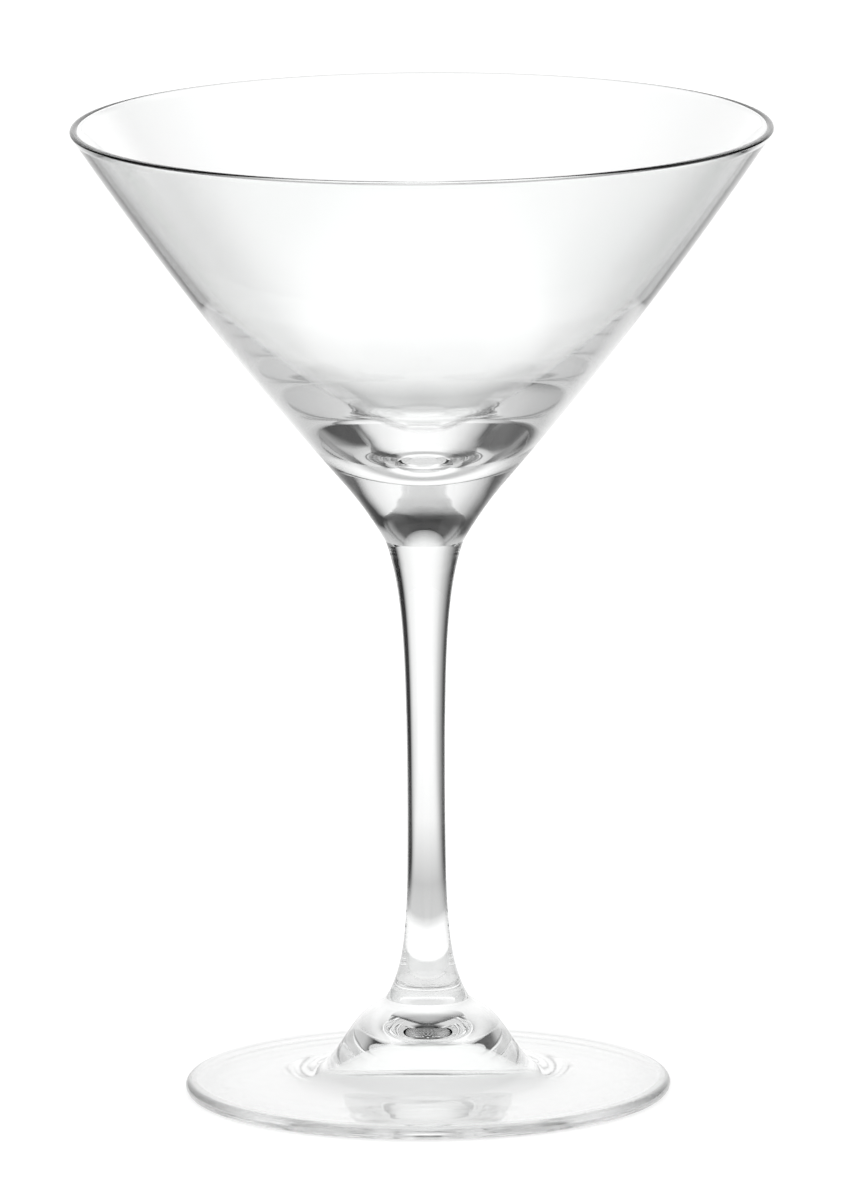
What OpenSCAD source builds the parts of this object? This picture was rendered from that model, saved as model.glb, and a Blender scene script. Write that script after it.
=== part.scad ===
// Martini glass in clear drawn glass: a cone-shaped bowl with a thick solid
// bottom, a slim drawn stem and a round foot, fused hot at two seams.
// The glass stands on z = 0 with its axis on the Z axis.

/* [Bowl] */
// Outside diameter of the rim
rim_d = 118; // [108:1:126]
// Height of the rim above the table
glass_h = 165; // [157:1:175]
// Thickness of the wall at the rim
rim_t = 1.3; // [0.9:0.1:1.8]
// Outward bow of the outside wall against a straight cone
wall_bow = 1.15; // [0.4:0.05:1.8]
// Outside radius where the neck runs into the cone
cone_start_r = 13.15; // [12.5:0.05:14]
// Height of the neck, from the stem seam up to the cone
neck_h = 9.5; // [8:0.5:12]
// Solid glass from the stem seam up to the inside bottom of the cup
solid_h = 14.9; // [14:0.1:16]
// Radius of the inside bottom of the cup at its middle
cup_tip_r = 17; // [15:0.5:20]
// Angle up to which that middle radius runs, in degrees
cup_tip_angle = 14.6; // [8:0.2:20]
// Radius of the rounding from there up to the inside wall
cup_round_r = 30.3; // [28:0.1:31]
// Steepness of the inside at the top of that rounding, in degrees
cup_wall_angle = 38; // [34:0.5:42]
// Height above the cup's bottom where the wall has thinned to its even part
thin_h = 28.6; // [27:0.2:31]
// Inside radius at that height
thin_r = 38.2; // [37.6:0.1:38.8]

/* [Stem] */
// Height of the seam between the stem and the bowl
bowl_seam_z = 94.5; // [88:0.5:100]
// Radius of both faces of that seam
bowl_seam_r = 6.6; // [5.6:0.1:7.6]
// Radius that the stem thins down to
waist_r = 3.15; // [2.6:0.05:4]
// Length over which the stem swells towards the bowl
top_reach = 9.7; // [7:0.1:12]
// Length over which the stem swells towards the foot
foot_reach = 6.3; // [5:0.1:9]

/* [Foot] */
// Diameter of the foot
foot_d = 82; // [74:1:90]
// Height of the seam between the foot and the stem
foot_seam_z = 16; // [14:0.5:18]
// Radius of both faces of that seam
foot_seam_r = 7; // [6:0.1:8]
// Rounding radius of the foot's edge, half the thickness there
edge_r = 1.2; // [0.9:0.1:1.6]
// Distance over which the bell on top of the foot sinks to its skirt
bell_reach = 8.5; // [8.2:0.1:9.5]
// Fullness of the bell: higher keeps its shoulder longer
bell_power = 3; // [2.6:0.1:3.2]
// Height of the shallow skirt that runs on from the bell to the edge
skirt_h = 1.5; // [1:0.1:2.5]
// Height of the small fillet between the bell and the seam
fillet_h = 2; // [1:0.1:3]
// Width of the flat ring that the glass stands on
rest_w = 2; // [1.5:0.5:3]
// Height of the shallow hollow inside that ring
hollow_h = 0.6; // [0.3:0.1:0.8]
// Height that the dimple under the bell adds to the hollow
kick_h = 10.8; // [8:0.2:11.2]
// Radius over which that dimple sinks to the shallow hollow
kick_reach = 16.5; // [14:0.5:17]

/* [Hidden] */
$fn = 96;
arc_steps = 14;      // straight steps in each curve of the bowl's outline
stem_steps = 28;     // steps along the stem's curve
foot_steps = 26;     // steps across each face of the foot
lip_steps = 6;       // steps round the lip and round the foot's edge
tip_steps = 5;       // steps in the middle of the cup's bottom

rim_r = rim_d / 2;
foot_r = foot_d / 2;
lip_r = rim_t / 2;
lip_z = glass_h - lip_r;
edge_mid_r = foot_r - edge_r;
cup_bottom_z = bowl_seam_z + solid_h;
tip_mid = [0, cup_bottom_z + cup_tip_r];
round_mid = tip_mid + (cup_tip_r - cup_round_r) * [sin(cup_tip_angle), -cos(cup_tip_angle)];
cup_side = round_mid + cup_round_r * [sin(cup_wall_angle), -cos(cup_wall_angle)];
thin_start = [thin_r, cup_bottom_z + thin_h];
thin_angle = 51.2;   // steepness of the inside wall where its even part starts
thin_bow = 0.24;     // outward bow of the even part of the inside wall
neck_bow = -0.25;    // the neck curves inward
hollow_r = edge_mid_r - rest_w;
fillet_reach = 2.5;  // distance over which the foot's fillet dies away
skirt_reach = 15;    // distance over which the skirt dies away
skirt_power = 1.3;   // fullness of the skirt
kick_power = 3.5;    // roundness of the dimple under the bell
bell_h = foot_seam_z - 2 * edge_r - fillet_h - skirt_h;
stem_h = bowl_seam_z - foot_seam_z;
// What each end's swell still adds at the far end of the stem
top_carry = exp(-stem_h / top_reach);
foot_carry = exp(-stem_h / foot_reach);
foot_swell = (foot_seam_r - waist_r - (bowl_seam_r - waist_r) * top_carry)
    / (1 - top_carry * foot_carry);
top_swell = bowl_seam_r - waist_r - foot_swell * foot_carry;

// Points after the first of a shallow curve from a to b, pushed out sideways
// by bow at its middle
function bowed(a, b, bow, steps) =
    let (d = b - a, side = [d[1], -d[0]] / norm(d))
    [for (i = [1 : steps]) let (t = i / steps) a + d * t + side * bow * 4 * t * (1 - t)];

// Points round a circle from angle a0 to a1
function arc(middle, r, a0, a1, steps) =
    [for (i = [0 : steps]) let (a = a0 + (a1 - a0) * i / steps)
        middle + r * [cos(a), sin(a)]];

// Points after the first of a smooth curve from a to b, which leaves a and
// reaches b at the two given angles
function eased(a, angle_a, b, angle_b, steps) =
    let (pull = norm(b - a) / 3,
        c = a + pull * [cos(angle_a), sin(angle_a)], d = b - pull * [cos(angle_b), sin(angle_b)])
    [for (i = [1 : steps]) let (t = i / steps, u = 1 - t)
        pow(u, 3) * a + 3 * u * u * t * c + 3 * u * t * t * d + pow(t, 3) * b];

// Radius of the stem at height z: a waist that swells towards both seams
function stem_r(z) = waist_r
    + foot_swell * exp(-(z - foot_seam_z) / foot_reach)
    + top_swell * exp(-(bowl_seam_z - z) / top_reach);

// Height of the foot's upper face at radius r
function foot_top(r) = let (out = r - foot_seam_r) 2 * edge_r
    + bell_h * exp(-pow(out / bell_reach, bell_power))
    + skirt_h * exp(-pow(out / skirt_reach, skirt_power))
    + fillet_h * exp(-out / fillet_reach);

// Height of the underside at radius r: a shallow hollow with a dimple under the bell
function hollow_z(r) = (hollow_h + kick_h * exp(-pow(r / kick_reach, kick_power)))
    * (1 - pow(r / hollow_r, 2));

// Outside of the bowl, from the seam face up to just under the lip
function bowl_outside() =
    let (cone = [cone_start_r, bowl_seam_z + neck_h])
    concat([[bowl_seam_r, bowl_seam_z]],
        bowed([bowl_seam_r, bowl_seam_z], cone, neck_bow, arc_steps),
        bowed(cone, [rim_r, lip_z], wall_bow, arc_steps));

// Inside of the cup, from just inside the lip down to the middle
function bowl_inside() = reversed(concat(
    arc(tip_mid, cup_tip_r, -90, -90 + cup_tip_angle, tip_steps),
    [for (i = [1 : arc_steps]) let (a = cup_tip_angle + (cup_wall_angle - cup_tip_angle) * i / arc_steps)
        round_mid + cup_round_r * [sin(a), -cos(a)]],
    eased(cup_side, cup_wall_angle, thin_start, thin_angle, arc_steps),
    bowed(thin_start, [rim_r - rim_t, lip_z], thin_bow, arc_steps)));

function reversed(points) = [for (i = [len(points) - 1 : -1 : 0]) points[i]];

module bowl() {
    lip = arc([rim_r - lip_r, lip_z], lip_r, 0, 180, lip_steps);
    color([0.86, 0.92, 0.93, 0.35])
        rotate_extrude()
            polygon(concat([[0, bowl_seam_z]], bowl_outside(),
                [for (i = [1 : lip_steps - 1]) lip[i]], bowl_inside()));
}

module stem() {
    color([0.84, 0.91, 0.92, 0.35])
        rotate_extrude()
            polygon(concat([[0, foot_seam_z]],
                [for (i = [0 : stem_steps])
                    let (z = foot_seam_z + stem_h * i / stem_steps) [stem_r(z), z]],
                [[0, bowl_seam_z]]));
}

module foot() {
    edge = arc([edge_mid_r, edge_r], edge_r, -90, 90, lip_steps);
    top = [for (i = [1 : foot_steps])
        let (r = edge_mid_r - (edge_mid_r - foot_seam_r) * i / foot_steps) [r, foot_top(r)]];
    color([0.84, 0.91, 0.92, 0.35])
        rotate_extrude()
            polygon(concat(
                [for (i = [0 : foot_steps]) let (r = hollow_r * i / foot_steps) [r, hollow_z(r)]],
                edge, top, [[0, foot_seam_z]]));
}

bowl();
stem();
foot();
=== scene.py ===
import math

import bmesh
import bpy
from mathutils import Euler, Matrix, Vector


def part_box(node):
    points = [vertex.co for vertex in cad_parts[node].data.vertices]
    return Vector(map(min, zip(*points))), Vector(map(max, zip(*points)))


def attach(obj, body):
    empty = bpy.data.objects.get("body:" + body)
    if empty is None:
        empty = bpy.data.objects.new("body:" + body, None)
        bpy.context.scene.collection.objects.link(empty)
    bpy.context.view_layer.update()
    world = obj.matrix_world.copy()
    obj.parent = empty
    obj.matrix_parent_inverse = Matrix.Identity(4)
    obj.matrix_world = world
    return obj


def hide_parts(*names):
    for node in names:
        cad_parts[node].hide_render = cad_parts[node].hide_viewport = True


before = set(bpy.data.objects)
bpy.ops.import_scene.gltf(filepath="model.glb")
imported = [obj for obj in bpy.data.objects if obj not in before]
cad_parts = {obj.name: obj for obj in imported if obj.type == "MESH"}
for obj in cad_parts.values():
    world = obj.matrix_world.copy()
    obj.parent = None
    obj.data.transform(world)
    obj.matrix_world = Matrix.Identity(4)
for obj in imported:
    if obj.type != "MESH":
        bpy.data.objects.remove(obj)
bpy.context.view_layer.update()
scene = bpy.context.scene
mm = 0.001
weld = 1e-7    # corners closer than this become one, in metres
level = 1e-6   # a corner this close to a seam's height lies on the seam, in metres

# the seams, the rim and the foot's edge are where the frame has them
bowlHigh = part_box("bowl")[1]
stemLow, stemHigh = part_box("stem")
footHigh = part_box("foot")[1]
rimR, rimTop = bowlHigh.x / mm, bowlHigh.z / mm
bowlSeamZ = stemHigh.z / mm
footSeamZ = stemLow.z / mm
footR = footHigh.x / mm
print("frame loaded: rim", round(rimR, 2), "top", round(rimTop, 2), "foot", round(footR, 2))


class Sock:
    # one output of a node, so that a + b adds a Math node
    def __init__(self, finish, socket):
        self.finish, self.socket = finish, socket

    def math(self, operation, *others):
        values = dict(enumerate((self, *others)))
        return self.finish.node("ShaderNodeMath", {"operation": operation}, values)

    def flipped(self, operation, other):
        return self.finish.node("ShaderNodeMath", {"operation": operation}, {0: other, 1: self})

    def __add__(self, other):
        return self.math("ADD", other)

    def __sub__(self, other):
        return self.math("SUBTRACT", other)

    def __mul__(self, other):
        return self.math("MULTIPLY", other)

    def __truediv__(self, other):
        return self.math("DIVIDE", other)

    def __pow__(self, other):
        return self.math("POWER", other)

    def __rsub__(self, other):
        return self.flipped("SUBTRACT", other)

    __radd__ = __add__
    __rmul__ = __mul__


class Finish:
    # a material that grows one node at a time
    def __init__(self, name):
        self.material = bpy.data.materials.new(name)
        self.material.use_nodes = True
        self.tree = self.material.node_tree
        self.tree.nodes.clear()

    def node(self, kind, settings=None, sockets=None, output=0):
        made = self.tree.nodes.new(kind)
        for name, value in (settings or {}).items():
            if name == "stops":
                fillRamp(made.color_ramp, value)
            else:
                setattr(made, name, value)
        for name, value in (sockets or {}).items():
            if isinstance(value, Sock):
                self.tree.links.new(value.socket, made.inputs[name])
            else:
                made.inputs[name].default_value = value
        return Sock(self, made.outputs[output]) if made.outputs else None

    def place(self):
        # x, y and z on the piece, in millimetres
        spot = self.node("ShaderNodeTexCoord", output=3)
        return [self.node("ShaderNodeSeparateXYZ", {}, {0: spot}, output=i) / mm for i in range(3)]

    def at(self, x, y, z):
        return self.node("ShaderNodeCombineXYZ", {}, {0: x, 1: y, 2: z})

    def clouds(self, spot, scale, detail=2.0):
        return self.node("ShaderNodeTexNoise", {}, {"Vector": spot, "Scale": scale, "Detail": detail})

    def step(self, value, low, high):
        # 0 below low, 1 above high, and smooth between them
        return self.node("ShaderNodeMapRange", {"interpolation_type": "SMOOTHSTEP"}, {
            "Value": value, "From Min": low, "From Max": high})

    def show(self, surface):
        self.node("ShaderNodeOutputMaterial", {}, {"Surface": surface})
        return self.material


def fillRamp(ramp, stops):
    while len(ramp.elements) < len(stops):
        ramp.elements.new(0.5)
    for element, (position, value) in zip(ramp.elements, stops):
        element.position = position
        element.color = (value, value, value, 1)


def bowed(start, end, bow, steps):
    # points after start of a shallow curve to end, pushed out sideways by bow at its middle
    start, end = Vector(start), Vector(end)
    along = end - start
    side = Vector((along.y, -along.x)).normalized()
    return [start + along * t + side * bow * 4 * t * (1 - t)
            for t in (i / steps for i in range(1, steps + 1))]


def arc(middle, radius, first, last, steps):
    turns = (math.radians(first + (last - first) * i / steps) for i in range(steps + 1))
    return [Vector(middle) + Vector((math.cos(a), math.sin(a))) * radius for a in turns]


def eased(start, startAngle, end, endAngle, steps):
    # points after start of a smooth curve that leaves start and reaches end at the two angles
    pull = (end - start).length / 3
    leave, reach = (Vector((math.cos(a), math.sin(a))) * pull
                    for a in map(math.radians, (startAngle, endAngle)))
    first, last = start + leave, end - reach
    return [start * (1 - t) ** 3 + first * 3 * (1 - t) ** 2 * t + last * 3 * (1 - t) * t * t + end * t ** 3
            for t in (i / steps for i in range(1, steps + 1))]


def lathe(name, outline, seams, turns):
    # spins an outline in millimetres, from axis to axis, and marks the flat faces at the seam heights
    bm = bmesh.new()
    verts = [bm.verts.new((max(r, 0) * mm, 0, z * mm)) for r, z in outline]
    edges = [bm.edges.new(pair) for pair in zip(verts, verts[1:])]
    bmesh.ops.spin(bm, geom=verts + edges, cent=(0, 0, 0), axis=(0, 0, 1), angle=math.tau,
                   steps=turns, use_merge=True)
    bmesh.ops.remove_doubles(bm, verts=bm.verts, dist=weld)
    bmesh.ops.recalc_face_normals(bm, faces=bm.faces)
    for face in bm.faces:
        face.smooth = True
        if any(all(abs(v.co.z - z * mm) < level for v in face.verts) for z in seams):
            face.material_index = 1
    for edge in bm.edges:
        if len({face.material_index for face in edge.link_faces}) > 1:
            edge.smooth = False
    mesh = bpy.data.meshes.new(name)
    bm.to_mesh(mesh)
    bm.free()
    piece = bpy.data.objects.new(name, mesh)
    scene.collection.objects.link(piece)
    return piece


clearGlass = {
    "ior": 1.52,
    "tint": (0.993, 0.997, 0.995, 1),
    "deepTint": (0.984, 0.992, 0.989, 1),
    "tintPatch": 0.035,       # size of the tint's slow changes, as noise per millimetre
    "tintSpan": (0.35, 0.65),
    "film": 0.018,            # roughness where a hand has wiped it; elsewhere the glass is clean
    "filmPatch": 0.09,
    "filmSpan": (0.52, 0.70),
    "waveDepth": 0.010 * mm,  # depth of the slow unevenness left by working the hot glass
}


def glass(name, waves, wear):
    # waves and wear take the finish and the place, and give a height and a roughness
    finish = Finish(name)
    x, y, z = finish.place()
    spot = finish.at(x, y, z)
    patches = finish.clouds(spot, clearGlass["tintPatch"])
    tint = finish.node("ShaderNodeMix", {"data_type": "RGBA"}, {
        0: finish.step(patches, *clearGlass["tintSpan"]),
        6: clearGlass["tint"], 7: clearGlass["deepTint"]}, output=2)
    film = finish.step(finish.clouds(spot, clearGlass["filmPatch"], detail=4), *clearGlass["filmSpan"])
    rough = film * clearGlass["film"] + wear(finish, x, y, z)
    bump = finish.node("ShaderNodeBump", {}, {
        "Strength": 1.0, "Distance": clearGlass["waveDepth"], "Height": waves(finish, x, y, z)})
    return finish.show(finish.node("ShaderNodeBsdfPrincipled", {}, {
        "Base Color": tint, "Roughness": rough, "Normal": bump,
        "IOR": clearGlass["ior"], "Transmission Weight": 1.0}))


fused = Finish("fusedJoin")
fusedJoin = fused.show(fused.node("ShaderNodeBsdfTransparent"))

stem = {
    "waistR": 3.15, "seamTopR": 6.6, "seamFootR": 7.0, "topReach": 9.7, "footReach": 6.3,
    "steps": 110, "turns": 160,
    "streak": (0.45, 0.45, 0.02),   # noise per millimetre across and along the draw
}

bowl = {
    "rimT": 1.3, "wallBow": 1.15, "coneStartR": 13.15, "neckH": 9.5, "neckBow": -0.25,
    "solidH": 14.9, "cupTipR": 17, "cupTipAngle": 14.6, "cupRoundR": 30.3, "cupWallAngle": 38,
    # where the even part of the wall starts
    "thinH": 28.6, "thinR": 38.2, "thinAngle": 51.2, "thinBow": 0.24,
    "turns": 256, "tipSteps": 16, "roundSteps": 36, "wallSteps": 40,
    "neckSteps": 24, "outsideSteps": 64, "lipSteps": 12,
    "striae": (0.022, 0.022, 0.11),   # noise per millimetre: long level waves
}

foot = {
    "edgeR": 1.2, "bellReach": 8.5, "bellPower": 3.0, "skirtH": 1.5, "skirtReach": 15.0, "skirtPower": 1.3,
    "filletH": 2.0, "filletReach": 2.5,
    "restW": 2.0, "hollowH": 0.6, "kickH": 10.8, "kickReach": 16.5, "kickPower": 3.5,
    "steps": 80, "edgeSteps": 24, "turns": 256,
    "ringPitch": 0.16,              # rings per millimetre of radius, from spinning the foot
    "ringDrift": 0.06,              # how fast those rings wander, as noise per millimetre
    # wear on the ring it stands on: how high it reaches, its roughness, and its noise per millimetre
    "restHeight": 0.35, "restRough": 0.28, "scratch": 1.4,
}


def bowlOutline():
    lipR = bowl["rimT"] / 2
    lipZ = rimTop - lipR
    seam = (stem["seamTopR"], bowlSeamZ)
    cone = (bowl["coneStartR"], bowlSeamZ + bowl["neckH"])
    tipMiddle = Vector((0, bowlSeamZ + bowl["solidH"] + bowl["cupTipR"]))
    tipEnd = math.radians(bowl["cupTipAngle"])
    towardsEnd = Vector((math.sin(tipEnd), -math.cos(tipEnd)))
    roundMiddle = tipMiddle + (bowl["cupTipR"] - bowl["cupRoundR"]) * towardsEnd
    tipArc = arc(tipMiddle, bowl["cupTipR"], -90, -90 + bowl["cupTipAngle"], bowl["tipSteps"])
    roundArc = arc(roundMiddle, bowl["cupRoundR"], -90 + bowl["cupTipAngle"], -90 + bowl["cupWallAngle"],
                   bowl["roundSteps"])
    thinStart = Vector((bowl["thinR"], bowlSeamZ + bowl["solidH"] + bowl["thinH"]))
    inside = (tipArc[:-1] + roundArc
              + eased(roundArc[-1], bowl["cupWallAngle"], thinStart, bowl["thinAngle"], bowl["wallSteps"])
              + bowed(thinStart, (rimR - 2 * lipR, lipZ), bowl["thinBow"], bowl["wallSteps"]))
    return ([Vector((0, bowlSeamZ)), Vector(seam)]
            + bowed(seam, cone, bowl["neckBow"], bowl["neckSteps"])
            + bowed(cone, (rimR, lipZ), bowl["wallBow"], bowl["outsideSteps"])
            + arc((rimR - lipR, lipZ), lipR, 0, 180, bowl["lipSteps"])[1:-1] + inside[::-1])


def stemOutline():
    # each end's swell dies away along the stem, and each still adds a little at the other end
    length = bowlSeamZ - footSeamZ
    waist = stem["waistR"]
    topCarry = math.exp(-length / stem["topReach"])
    footCarry = math.exp(-length / stem["footReach"])
    footSwell = ((stem["seamFootR"] - waist - (stem["seamTopR"] - waist) * topCarry)
                 / (1 - topCarry * footCarry))
    topSwell = stem["seamTopR"] - waist - footSwell * footCarry
    side = []
    for i in range(stem["steps"] + 1):
        up = length * i / stem["steps"]
        swell = (footSwell * math.exp(-up / stem["footReach"])
                 + topSwell * math.exp((up - length) / stem["topReach"]))
        side.append(Vector((waist + swell, footSeamZ + up)))
    return [Vector((0, footSeamZ))] + side + [Vector((0, bowlSeamZ))]


def footOutline():
    edgeR = foot["edgeR"]
    edgeMid = footR - edgeR
    seamR = stem["seamFootR"]
    bellH = footSeamZ - 2 * edgeR - foot["filletH"] - foot["skirtH"]
    hollowR = edgeMid - foot["restW"]
    top = []
    for i in range(1, foot["steps"] + 1):
        out = (edgeMid - seamR) * (1 - i / foot["steps"])
        bell = bellH * math.exp(-(out / foot["bellReach"]) ** foot["bellPower"])
        fillet = foot["filletH"] * math.exp(-out / foot["filletReach"])
        skirt = foot["skirtH"] * math.exp(-(out / foot["skirtReach"]) ** foot["skirtPower"])
        top.append(Vector((seamR + out, 2 * edgeR + bell + skirt + fillet)))
    hollow = []
    for i in range(foot["steps"] + 1):
        share = i / foot["steps"]
        kick = foot["kickH"] * math.exp(-(hollowR * share / foot["kickReach"]) ** foot["kickPower"])
        hollow.append(Vector((hollowR * share, (foot["hollowH"] + kick) * (1 - share ** 2))))
    edge = arc((edgeMid, edgeR), edgeR, -90, 90, foot["edgeSteps"])
    return hollow + edge + top + [Vector((0, footSeamZ))]


def noWear(finish, x, y, z):
    return 0.0


def bowlWaves(finish, x, y, z):
    across, around, up = bowl["striae"]
    return finish.clouds(finish.at(x * across, y * around, z * up), 1.0)


def stemWaves(finish, x, y, z):
    across, around, along = stem["streak"]
    return finish.clouds(finish.at(x * across, y * around, z * along), 1.0)


def footWaves(finish, x, y, z):
    radius = (x * x + y * y) ** 0.5
    uneven = finish.clouds(finish.at(x, y, z), foot["ringDrift"])
    return finish.node("ShaderNodeMath", {"operation": "SINE"}, {
        0: (radius * foot["ringPitch"] + uneven) * math.tau}) * 0.5 + 0.5


def footWear(finish, x, y, z):
    # the ring that the glass stands on is scuffed by tables
    scratches = finish.clouds(finish.at(x, y, z), foot["scratch"], detail=6)
    low = 1 - finish.step(z, 0.0, foot["restHeight"])
    return low * scratches * foot["restRough"]


for name, node, outline, seams, settings, waves, wear in (
        ("glassBowl", "bowl", bowlOutline(), [bowlSeamZ], bowl, bowlWaves, noWear),
        ("glassStem", "stem", stemOutline(), [bowlSeamZ, footSeamZ], stem, stemWaves, noWear),
        ("glassFoot", "foot", footOutline(), [footSeamZ], foot, footWaves, footWear)):
    piece = lathe(name, outline, seams, settings["turns"])
    piece.data.materials.append(glass(node + "Glass", waves, wear))
    piece.data.materials.append(fusedJoin)
    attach(piece, "root")
    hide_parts(node)
    node + "_glass"
    print(name, "made with", len(piece.data.polygons), "faces")

room = {
    "light": 1.12, "bounces": 80, "insideBounces": 32,
    "floorSize": 20, "floorGap": 0.0001, "floorShade": 0.35, "floorGlow": 0.75,
}
scene.world = bpy.data.worlds.new("studio")
scene.world.use_nodes = True
scene.world.node_tree.nodes["Background"].inputs["Color"].default_value = (1, 1, 1, 1)
scene.world.node_tree.nodes["Background"].inputs["Strength"].default_value = room["light"]
scene.view_settings.view_transform = "Standard"
# light runs round inside the bowl's wall before it leaves, and fades out on the longest ways
scene.cycles.max_bounces = room["bounces"]
scene.cycles.transmission_bounces = room["bounces"]
scene.cycles.transparent_max_bounces = room["bounces"]
scene.cycles.glossy_bounces = room["insideBounces"]

bpy.ops.mesh.primitive_plane_add(size=room["floorSize"], location=(0, 0, -room["floorGap"]))
floor = bpy.context.object
floor.name = "floor"
pale = Finish("paleFloor")
floor.data.materials.append(pale.show(pale.node("ShaderNodeAddShader", {}, {
    0: pale.node("ShaderNodeBsdfDiffuse", {}, {"Color": (room["floorShade"],) * 3 + (1,)}),
    1: pale.node("ShaderNodeEmission", {}, {"Color": (room["floorGlow"],) * 3 + (1,)})})))
print("floor and light set")

shot = {"aside": 0.0001, "away": 2.8135, "height": 0.6111, "lens": 340.2, "sensor": 24,
        "pitch": 10.607, "roll": -0.39}
lens = bpy.data.cameras.new("shotCamera")
lens.sensor_fit = "VERTICAL"
lens.sensor_height = shot["sensor"]
lens.lens = shot["lens"]
camera = bpy.data.objects.new("shotCamera", lens)
scene.collection.objects.link(camera)
camera.location = (shot["aside"], -shot["away"], shot["height"])
camera.rotation_euler = (Euler((math.radians(90 - shot["pitch"]), 0, 0)).to_matrix()
                         @ Euler((0, 0, math.radians(shot["roll"]))).to_matrix()).to_euler()
scene.camera = camera

# a round tent of cards about the glass: clear behind it, dark at its sides and overhead, with soft
# edges. Only the light that the glass bends or reflects meets it. It stands still: its clear side is
# behind the glass for someone in front of it. Turns are in degrees from straight behind the glass,
# minus to the left, and rises in degrees above level as seen from the tent's middle.
tent = {
    "radius": 0.5, "middle": 0.08, "gap": 0.0004, "doorway": 0.043, "segments": 64, "rings": 32,
    "turns": [(-180, 0.15), (-165, 0.25), (-148, 0.68), (-110, 0.68), (-88, 0.50),
              (-76, 0.10), (-66, 0.05), (-51, 0.06),
              (-44.9, 0.15), (-39.8, 0.26), (-35.5, 0.37), (-31.8, 0.47), (-27, 0.58), (-21.6, 0.75),
              (-16.6, 0.86), (-12, 0.93), (0, 1.0), (12, 0.96), (16.6, 0.92), (27, 0.80),
              (31.8, 0.65), (35.5, 0.46), (39.8, 0.16), (42, 0.012), (60, 0.010), (66, 0.25),
              (74, 0.50), (110, 0.66), (148, 0.66), (165, 0.20), (180, 0.15)],
    "rises": [(0, 1.0), (29, 1.0), (35, 0.88), (40, 0.65), (46, 0.50), (60, 0.46), (66, 0.28), (72, 0.12),
              (79, 0.04), (86, 0.01)],
    # away from the back the cards close overhead: by how much, and over which turns and rises, in radians
    "shut": 0.95, "shutTurn": (0.7, 1.3), "shutRise": (0.85, 1.08),
    "hem": (1, 2),   # heights between which the table gives way to the cards, in millimetres
    # on the table the clear strip is this wide each side of the glass, in millimetres
    "strip": 95, "stripSoftRight": 30, "stripSoftLeft": 60,
    # shade on the table by distance from the glass, in millimetres
    "ground": [(0, 1.0), (85, 1.0), (105, 0.55), (150, 0.50), (230, 0.85), (400, 1.0)], "groundEnd": 500,
}


def tentCards():
    bm = bmesh.new()
    bmesh.ops.create_uvsphere(bm, u_segments=tent["segments"], v_segments=tent["rings"],
                              radius=tent["radius"], matrix=Matrix.Translation((0, 0, tent["middle"])))
    bmesh.ops.bisect_plane(bm, geom=bm.verts[:] + bm.edges[:] + bm.faces[:],
                           plane_co=(0, 0, tent["gap"]), plane_no=(0, 0, 1), clear_inner=True)
    hem = [edge for edge in bm.edges if edge.is_boundary]
    hemR = max(v.co.to_2d().length for edge in hem for v in edge.verts)
    made = bmesh.ops.extrude_edge_only(bm, edges=hem)["geom"]
    inner = [part for part in made if isinstance(part, bmesh.types.BMVert)]
    shrink = tent["doorway"] / hemR
    bmesh.ops.scale(bm, vec=(shrink, shrink, 1), verts=inner)
    mesh = bpy.data.meshes.new("lightTent")
    bm.to_mesh(mesh)
    bm.free()
    cards = bpy.data.objects.new("lightTent", mesh)
    scene.collection.objects.link(cards)
    return cards


def tentCloth():
    cloth = Finish("tentCloth")
    x, y, z = cloth.place()
    turn = cloth.node("ShaderNodeMath", {"operation": "ARCTAN2"}, {0: x, 1: y})
    radius = (x * x + y * y) ** 0.5
    rise = cloth.node("ShaderNodeMath", {"operation": "ARCTAN2"}, {0: z - tent["middle"] / mm, 1: radius})
    sides = cloth.node("ShaderNodeValToRGB", {
        "stops": [((a + 180) / 360, v) for a, v in tent["turns"]]}, {0: turn / math.tau + 0.5})
    over = cloth.node("ShaderNodeValToRGB", {
        "stops": [(a / 90, v) for a, v in tent["rises"]]}, {0: rise / (math.pi / 2)})
    ground = cloth.node("ShaderNodeValToRGB", {
        "stops": [(r / tent["groundEnd"], v) for r, v in tent["ground"]]}, {0: radius / tent["groundEnd"]})
    past = x.math("ABSOLUTE") - tent["strip"]
    onRight = x.math("GREATER_THAN", 0.0)
    soft = onRight * (tent["stripSoftRight"] - tent["stripSoftLeft"]) + tent["stripSoftLeft"]
    outside = cloth.step(past / soft, -1.0, 1.0)
    table = (1 - outside * (1 - sides)) * ground
    low = 1 - cloth.step(z, *tent["hem"])
    # overhead it is darker still away from the back
    away = cloth.step(turn.math("ABSOLUTE"), *tent["shutTurn"]) * cloth.step(rise, *tent["shutRise"])
    shade = sides * over * (1 - away * tent["shut"]) * (1 - low) + table * low
    return cloth.show(cloth.node("ShaderNodeBsdfTransparent", {}, {"Color": shade}))


cards = tentCards()
cards.data.materials.append(tentCloth())
cards.visible_camera = False
cards.visible_diffuse = False
cards.visible_shadow = False
print("tent set round the glass")

bpy.context.view_layer.update()
